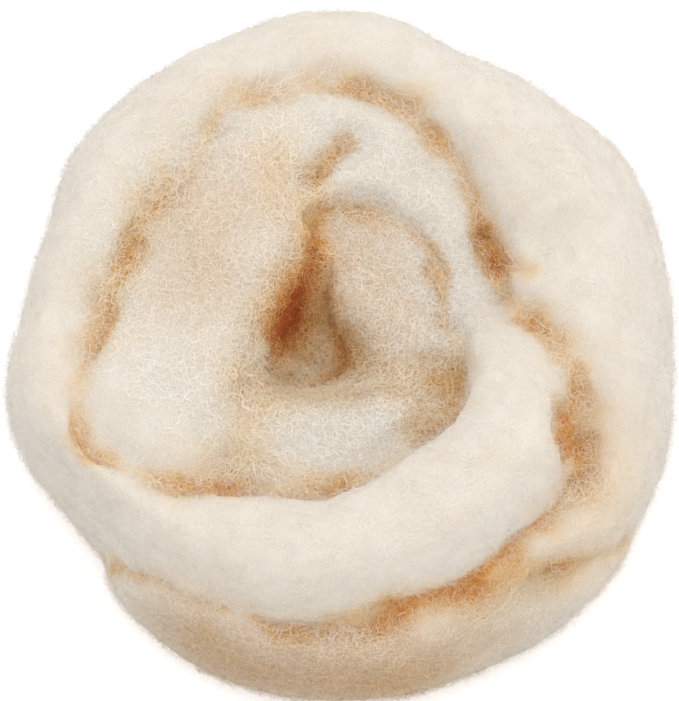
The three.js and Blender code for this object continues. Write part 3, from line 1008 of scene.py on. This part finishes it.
@dataclass
class FibreCoat:
    """Many strands of one sort, joined into one mesh of thin flat ribbons."""

    name: str
    lie: Lie
    count: int
    segments: int
    length: Span
    width: Span
    lift: Span  # how far a strand stands off the wool
    crimp: Span  # how far it waves to each side
    wave: Span  # length of one wave
    spread: float  # degrees to which it strays from the way the strip was combed
    fold_share: float  # how much likelier it is in a fold than on the open surface
    tone: Span
    shown: float  # how much of the painted shade of the fold under it a strand shows
    seed: int
    root: float = 0.15 * MM  # how deep in the wool a standing strand starts
    steepest: float = 0.95  # share of its length that it rises at most
    bow: float = 1.4  # how much it bends over
    sunk: float = 0.1 * MM  # how deep in the wool the ends of the other strands are
    veer: float = 0.9  # radians to which a lying strand turns along its length
    free_share: float = 0.3  # of the lying strands, with one end in the air
    free_lift: float = 1.6  # how much higher that end is
    slant: float = 1.6  # how far a bridge strays to its side, against its way to the fold
    bridge_span: float = 2.1  # length of a bridge, against that way
    heave: float = 0.5  # how much a strand waves in and out, against from side to side
    askew: float = 0.3  # radians to which a ribbon is turned about its strand
    taper: float = 3.0  # how soon a ribbon has its full width
    floor_gap: float = 0.15 * MM  # how low over the floor a strand comes

    def build(self, skin: Skin, material: bpy.types.Material) -> bpy.types.Object:
        """Makes the strands.

        Args:
            skin: the body they grow on.
            material: their finish.

        Returns:
            The finished piece.
        """
        rng = np.random.default_rng(self.seed)
        roots = skin.sown(self.count, self.liking(skin), rng)
        courses = {Lie.STANDING: self.standing, Lie.LYING: self.lying, Lie.BRIDGING: self.bridging}
        middle, normals, depths = courses[self.lie](skin, roots, rng)
        middle = self.crimped(middle, normals, rng)
        middle[:, :, 2] = np.maximum(middle[:, :, 2], self.floor_gap)
        mesh = self.ribbons(middle, normals, depths * self.shown, rng)
        # painted shade on the strands: that of the wool under them, and more on the outer wrap
        painted_shade = np.maximum(roots.painted_shade, OUTER_PAINTED_SHADE * (1.0 - ZONES.inner(roots.places)))
        paint(mesh, PAINTED_SHADE, np.repeat(painted_shade, 2 * self.segments))
        mesh.materials.append(material)
        piece = bpy.data.objects.new(self.name, mesh)
        bpy.context.scene.collection.objects.link(piece)
        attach(piece, BODY)
        return piece

    def liking(self, skin: Skin) -> np.ndarray:
        """How likely a strand is on each face: more in folds, none where the roll stands on the floor.

        Args:
            skin: the body's surface.

        Returns:
            One number a face.
        """
        crease, up = skin.face_crease, skin.face_normals[:, 2]
        bare = smoothstep(skin.face_middles[:, 2], *GROWTH.off_floor)
        bare *= 1 - smoothstep(-up, *GROWTH.underneath)
        if self.lie is Lie.BRIDGING:
            bare *= smoothstep(up, *GROWTH.bridge_tilt)
            rim = smoothstep(crease, *GROWTH.bridge_starts) * (1 - smoothstep(crease, *GROWTH.bridge_ends))
            return bare * rim
        if self.lie is Lie.LYING:
            bare *= 1 + GROWTH.inner_share * ZONES.inner(skin.face_middles)
        fold = smoothstep(crease, *GROWTH.fold_starts) * (1 - smoothstep(crease, *GROWTH.fold_ends))
        return bare * (1 + self.fold_share * fold) * (1 - smoothstep(crease, *GROWTH.hole))

    def headings(self, roots: Roots, rng: np.random.Generator) -> np.ndarray:
        """The way each strand sets off: round the roll, as the strip was combed, and strayed from that.

        Args:
            roots: where the strands start.
            rng: the source of chance.

        Returns:
            One direction a strand, along the surface.
        """
        places, outwards = roots.places, roots.outwards
        combed = np.stack((-places[:, 1], places[:, 0], np.zeros(len(places))), -1)
        level = unit(combed - outwards * (combed * outwards).sum(-1, keepdims=True))
        rising = np.cross(outwards, level)
        stray = np.radians(rng.normal(0, self.spread, len(places)))[:, None]
        either = rng.choice((-1.0, 1.0), len(places))[:, None]
        return either * (level * np.cos(stray) + rising * np.sin(stray))

    def shares(self) -> np.ndarray:
        """How far along its strand each station is, shaped to go with points of strands."""
        return np.linspace(0, 1, self.segments + 1)[None, :, None]

    def standing(self, skin: Skin, roots: Roots, rng: np.random.Generator) -> Courses:
        """Strands that stand off the wool, bent over the way they were combed.

        Args:
            skin: the body's surface, not used.
            roots: where the strands start.
            rng: the source of chance.

        Returns:
            The strands' courses.
        """
        share = self.shares()
        length = rng.uniform(*self.length, self.count)[:, None, None]
        low, high = self.lift
        lift = low + (high - low) * rng.random((self.count, 1, 1)) ** 2
        lean = self.headings(roots, rng)[:, None, :]
        up = roots.outwards[:, None, :]
        rise = np.minimum(lift, length * self.steepest)
        run = np.sqrt(np.maximum(length**2 - rise**2, 0))
        bent = up * rise * np.sin(share * math.pi / 2) + lean * run * share**self.bow
        middle = roots.places[:, None, :] - up * self.root + bent
        normals = np.repeat(up, self.segments + 1, axis=1)
        return middle, normals, np.repeat(roots.depth[:, None], self.segments + 1, axis=1)

    def lying(self, skin: Skin, roots: Roots, rng: np.random.Generator) -> Courses:
        """Strands that follow the surface, sunk in it at one end or at both.

        Args:
            skin: the body's surface.
            roots: where the strands start.
            rng: the source of chance.

        Returns:
            The strands' courses.
        """
        step = rng.uniform(*self.length, self.count)[:, None] / self.segments
        way = self.headings(roots, rng)
        bend = rng.normal(0, self.veer, self.count)[:, None] / self.segments
        feet, normals, depths = [roots.places], [roots.outwards], [roots.depth]
        for _ in range(self.segments):
            foot, normal, fold = skin.settled(feet[-1] + way * step)
            way = unit(way - normal * (way * normal).sum(-1, keepdims=True))
            way = unit(way + np.cross(normal, way) * bend)
            feet.append(foot)
            normals.append(normal)
            depths.append(fold)
        share = self.shares()
        lift = rng.uniform(*self.lift, self.count)[:, None, None]
        free = rng.random(self.count)[:, None, None] < self.free_share
        height = np.where(free, lift * self.free_lift * share, lift * np.sin(math.pi * share)) - self.sunk
        normals = np.stack(normals, 1)
        return np.stack(feet, 1) + normals * height, normals, np.stack(depths, 1)

    def bridging(self, skin: Skin, roots: Roots, rng: np.random.Generator) -> Courses:
        """Strands that cross a fold and land on its other side.

        Args:
            skin: the body's surface.
            roots: where the strands start.
            rng: the source of chance.

        Returns:
            The strands' courses.
        """
        deep = np.flatnonzero(skin.crease > GROWTH.bridged)
        tree = KDTree(len(deep))
        for i in deep:
            tree.insert(skin.points[i], int(i))
        tree.balance()
        places, outwards = roots.places, roots.outwards
        across = np.array([tree.find(place)[0] for place in places]) - places
        across -= outwards * (across * outwards).sum(-1, keepdims=True)
        reach = np.linalg.norm(across, axis=-1, keepdims=True)
        stray = np.cross(outwards, unit(across)) * reach * rng.normal(0, self.slant, self.count)[:, None]
        length = np.clip(self.bridge_span * reach, *self.length)
        landing, landing_normals, landing_depth = skin.settled(places + unit(across + stray) * length)
        share = self.shares()
        lift = rng.uniform(*self.lift, self.count)[:, None, None]
        normals = unit(outwards[:, None, :] * (1 - share) + landing_normals[:, None, :] * share)
        middle = places[:, None, :] * (1 - share) + landing[:, None, :] * share
        middle = middle + normals * (lift * np.sin(math.pi * share) - self.sunk)
        depths = roots.depth[:, None] * (1 - share[:, :, 0]) + landing_depth[:, None] * share[:, :, 0]
        return middle, normals, depths

    def crimped(self, middle: np.ndarray, normals: np.ndarray, rng: np.random.Generator) -> np.ndarray:
        """Waves each strand to its sides and in and out, as wool grows.

        Args:
            middle: the strands' points.
            normals: the way out of the wool along them.
            rng: the source of chance.

        Returns:
            The waved strands' points.
        """
        along = np.zeros(middle.shape[:2])
        along[:, 1:] = np.cumsum(np.linalg.norm(np.diff(middle, axis=1), axis=-1), axis=1)
        ahead = unit(np.gradient(middle, axis=1))
        side = unit(np.cross(normals, ahead))
        wave = rng.uniform(*self.wave, self.count)[:, None]
        size = rng.uniform(*self.crimp, self.count)[:, None]
        phase = rng.uniform(0, 2 * math.pi, (2, self.count))[:, :, None]
        turn = 2 * math.pi * along / wave
        sway = size * np.sin(turn + phase[0])
        heave = self.heave * size * np.sin(turn + phase[1])
        return middle + side * sway[:, :, None] + normals * heave[:, :, None]

    def ribbons(
        self, middle: np.ndarray, normals: np.ndarray, depths: np.ndarray, rng: np.random.Generator
    ) -> bpy.types.Mesh:
        """Lays a thin ribbon, pointed at both ends, along each strand.

        Args:
            middle: the strands' points.
            normals: the way out of the wool along them.
            depths: the depth of fold along them.
            rng: the source of chance.

        Returns:
            One mesh of all the ribbons, those that lie on the wool shaded as it is.
        """
        rungs = self.segments - 1
        ahead = unit(np.gradient(middle, axis=1))
        side = unit(np.cross(normals, ahead))
        roll = rng.normal(0, self.askew, self.count)[:, None, None]
        side = side * np.cos(roll) + np.cross(ahead, side) * np.sin(roll)
        share = self.shares()[:, 1:-1]
        taper = np.minimum(1.0, self.taper * np.minimum(share, 1 - share))
        half = rng.uniform(*self.width, self.count)[:, None, None] / 2 * taper
        inner = middle[:, 1:-1]
        pairs = np.stack((inner - side[:, 1:-1] * half, inner + side[:, 1:-1] * half), axis=2)
        pairs = pairs.reshape(self.count, 2 * rungs, 3)
        corners = np.concatenate((middle[:, :1], pairs, middle[:, -1:]), axis=1)
        mesh, loops = self.faced(corners)
        station = np.concatenate(([0], np.repeat(np.arange(1, rungs + 1), 2), [self.segments]))
        tones = rng.uniform(*self.tone, self.count)
        paint(mesh, FOLD_SHADE, depths[:, station])
        paint(mesh, TONE, np.repeat(tones, len(station)))
        if self.lie is not Lie.STANDING:
            outwards = mesh.attributes.new("custom_normal", "FLOAT_VECTOR", "POINT")
            outwards.data.foreach_set("vector", normals[:, station].astype(np.float32).ravel())
        self.lay_out(mesh, station, loops)
        return mesh

    def faced(self, corners: np.ndarray) -> tuple[bpy.types.Mesh, np.ndarray]:
        """Makes the ribbons' faces.

        Args:
            corners: the corners of each ribbon, from its one point to the other.

        Returns:
            The mesh, and which corner of the mesh each corner of its faces is.
        """
        each, rungs = corners.shape[1], self.segments - 1
        first = [0, 1, 2]
        last = [each - 1, each - 2, each - 3]
        between = [[2 * i + 1, 2 * i + 3, 2 * i + 4, 2 * i + 2] for i in range(rungs - 1)]
        pattern = np.array(first + sum(between, []) + last)
        starts = np.concatenate(([0], 3 + 4 * np.arange(rungs)))
        ribbon = np.arange(self.count)[:, None]
        loops = (pattern[None, :] + ribbon * each).ravel()
        loop_starts = (starts[None, :] + ribbon * len(pattern)).ravel()
        mesh = bpy.data.meshes.new(self.name)
        mesh.vertices.add(self.count * each)
        mesh.vertices.foreach_set("co", corners.astype(np.float32).ravel())
        mesh.loops.add(len(loops))
        mesh.loops.foreach_set("vertex_index", loops.astype(np.int32))
        mesh.polygons.add(len(loop_starts))
        mesh.polygons.foreach_set("loop_start", loop_starts.astype(np.int32))
        mesh.update(calc_edges=True)
        return mesh, loops

    def lay_out(self, mesh: bpy.types.Mesh, station: np.ndarray, loops: np.ndarray) -> None:
        """Gives each ribbon a cell of its own in the piece's map.

        Args:
            mesh: the ribbons.
            station: how many segments along its strand each corner of a ribbon is.
            loops: which corner of the mesh each corner of its faces is.
        """
        columns = math.ceil(math.sqrt(self.count / CELL.aspect))
        rows = math.ceil(self.count / columns)
        cell = np.arange(self.count)[:, None]
        across = np.concatenate(([0.5], np.tile(CELL.across, self.segments - 1), [0.5]))
        u = (cell % columns + CELL.margin + CELL.along * station[None, :] / self.segments) / columns
        v = (cell // columns + across[None, :]) / rows
        spots = np.stack((u, v), -1).reshape(-1, 2)
        mesh.uv_layers.new(name=BAKE_MAP).uv.foreach_set("vector", spots[loops].astype(np.float32).ravel())


COATS = (
    FibreCoat(
        "wool_haze", Lie.STANDING, 75000, 2, (1.6 * MM, 4.2 * MM), (0.025 * MM, 0.045 * MM),
        (0.4 * MM, 3.6 * MM), (0.05 * MM, 0.2 * MM), (2.5 * MM, 4.0 * MM), 70, 0.2, (0.1, 0.6), 1.0, 101,
    ),
    FibreCoat(
        "wool_curls", Lie.LYING, 17000, 6, (2.6 * MM, 4.6 * MM), (0.05 * MM, 0.095 * MM),
        (0.3 * MM, 1.2 * MM), (0.25 * MM, 0.5 * MM), (2.0 * MM, 3.0 * MM), 90, 1.0, (0.0, 1.0), 0.95, 102,
    ),
    FibreCoat(
        "wool_crimp_open", Lie.LYING, 8000, 12, (5.0 * MM, 10.0 * MM), (0.05 * MM, 0.10 * MM),
        (0.2 * MM, 0.8 * MM), (0.2 * MM, 0.5 * MM), (2.0 * MM, 3.4 * MM), 55, 1.0, (0.0, 1.0), 0.8, 103,
    ),
    FibreCoat(
        "wool_crimp_fold", Lie.LYING, 8000, 12, (4.0 * MM, 7.5 * MM), (0.05 * MM, 0.10 * MM),
        (0.3 * MM, 1.2 * MM), (0.35 * MM, 0.7 * MM), (1.9 * MM, 3.0 * MM), 80, 8.0, (0.0, 1.0), 0.85, 104,
    ),
    FibreCoat(
        "wool_bridges", Lie.BRIDGING, 5000, 10, (5.0 * MM, 12.0 * MM), (0.05 * MM, 0.09 * MM),
        (0.3 * MM, 1.4 * MM), (0.25 * MM, 0.6 * MM), (2.4 * MM, 4.0 * MM), 60, 0.0, (0.2, 1.0), 0.5, 105,
    ),
)


@dataclass
class Studio:
    """Pale floor, soft light and the camera."""

    azimuth: float = 0.0
    elevation: float = 68.0
    distance: float = 0.7
    aim: tuple[float, float, float] = (0.0, 0.0, 30 * MM)
    lens: float = 166.0
    shift: Span = (-0.002, -0.010)
    floor_size: float = 6.0
    floor_grain: Grain = Grain(0.25, 2.0)
    floor_greys: tuple[tuple[float, Colour], ...] = ((0.0, (0.60, 0.60, 0.60)), (1.0, (0.63, 0.63, 0.63)))
    floor_roughness: float = 0.9
    floor_glow: float = 0.48  # lifts the floor to white in the picture, and lights nothing
    light_from: tuple[float, float, float] = (0.14, 0.05, 0.99)
    light_range: Span = (0.42, 1.46)  # brightness of the room opposite that side and on it
    light_edge: float = -0.6  # cosine at which the room is darkest
    dim_tint: Colour = (1.0, 0.88, 0.74)  # of the light from there

    def build(self) -> None:
        """Sets up floor, light, camera and how the picture is developed."""
        self.floor()
        self.lights()
        self.camera()
        view = bpy.context.scene.view_settings
        view.view_transform = "Standard"
        view.look = "None"

    def floor(self) -> None:
        """A wide pale floor with a trace of grain."""
        bm = bmesh.new()
        bmesh.ops.create_grid(bm, x_segments=1, y_segments=1, size=self.floor_size / 2)
        mesh = bpy.data.meshes.new("floor")
        bm.to_mesh(mesh)
        bm.free()
        nodes = Nodes(bpy.data.materials.new("pale_floor"))
        colour = nodes.ramp(self.floor_grain.add_to(nodes, nodes.place()), self.floor_greys)
        seen = nodes.add("ShaderNodeLightPath").outputs["Is Camera Ray"]
        glow = nodes.counted("MULTIPLY", seen, self.floor_glow)
        shader = nodes.add("ShaderNodeBsdfPrincipled", Roughness=self.floor_roughness, Emission_Color=WHITE)
        output = nodes.add("ShaderNodeOutputMaterial")
        nodes.put(colour, shader.inputs["Base Color"])
        nodes.put(glow, shader.inputs["Emission Strength"])
        nodes.put(shader.outputs["BSDF"], output.inputs["Surface"])
        mesh.materials.append(nodes.owner)
        floor = bpy.data.objects.new("floor", mesh)
        bpy.context.scene.collection.objects.link(floor)

    def lights(self) -> None:
        """A soft bright room, brightest above and a little to the right, with a white backdrop."""
        nodes = Nodes(bpy.data.worlds.new("room"))
        facing = nodes.add("ShaderNodeVectorMath", operation="DOT_PRODUCT")
        nodes.put(nodes.add("ShaderNodeTexCoord").outputs["Generated"], facing.inputs[0])
        nodes.put(tuple(Vector(self.light_from).normalized()), facing.inputs[1])
        cosines = (self.light_edge, 1.0)
        cosine = facing.outputs["Value"]
        strength = nodes.ranged(cosine, cosines, self.light_range, interpolation_type="SMOOTHSTEP")
        room = nodes.add("ShaderNodeBackground")
        nodes.put(strength, room.inputs["Strength"])
        nodes.put(nodes.mixed(strength, (*self.dim_tint, 1.0), WHITE), room.inputs["Color"])
        backdrop = nodes.add("ShaderNodeBackground", Color=WHITE)
        both = nodes.add("ShaderNodeMixShader")
        nodes.put(nodes.add("ShaderNodeLightPath").outputs["Is Camera Ray"], both.inputs["Fac"])
        nodes.put(room.outputs["Background"], both.inputs[1])
        nodes.put(backdrop.outputs["Background"], both.inputs[2])
        output = nodes.add("ShaderNodeOutputWorld")
        nodes.put(both.outputs["Shader"], output.inputs["Surface"])
        bpy.context.scene.world = nodes.owner

    def camera(self) -> None:
        """The camera, above the roll's front."""
        lens = bpy.data.cameras.new("camera")
        lens.lens = self.lens
        lens.shift_x, lens.shift_y = self.shift
        camera = bpy.data.objects.new("camera", lens)
        turn, rise = math.radians(self.azimuth), math.radians(self.elevation)
        back = Vector((math.sin(turn) * math.cos(rise), -math.cos(turn) * math.cos(rise), math.sin(rise)))
        camera.location = Vector(self.aim) + back * self.distance
        camera.rotation_euler = (-back).to_track_quat("-Z", "Y").to_euler()
        bpy.context.scene.collection.objects.link(camera)
        bpy.context.scene.camera = camera


def main() -> None:
    """Builds the roll, its fibres and the studio, and reports each piece."""
    logging.basicConfig(level=logging.INFO, format="%(message)s")
    body = WoolRoll().build()
    log.info("%s: %d faces", body.name, len(body.data.polygons))
    skin = Skin(body.data)
    fibre = FIBRE_FINISH.material()
    for coat in COATS:
        piece = coat.build(skin, fibre)
        piece.data.calc_loop_triangles()
        log.info("%s: %d strands, %d triangles", piece.name, coat.count, len(piece.data.loop_triangles))
    Studio().build()


if __name__ == "__main__":
    main()
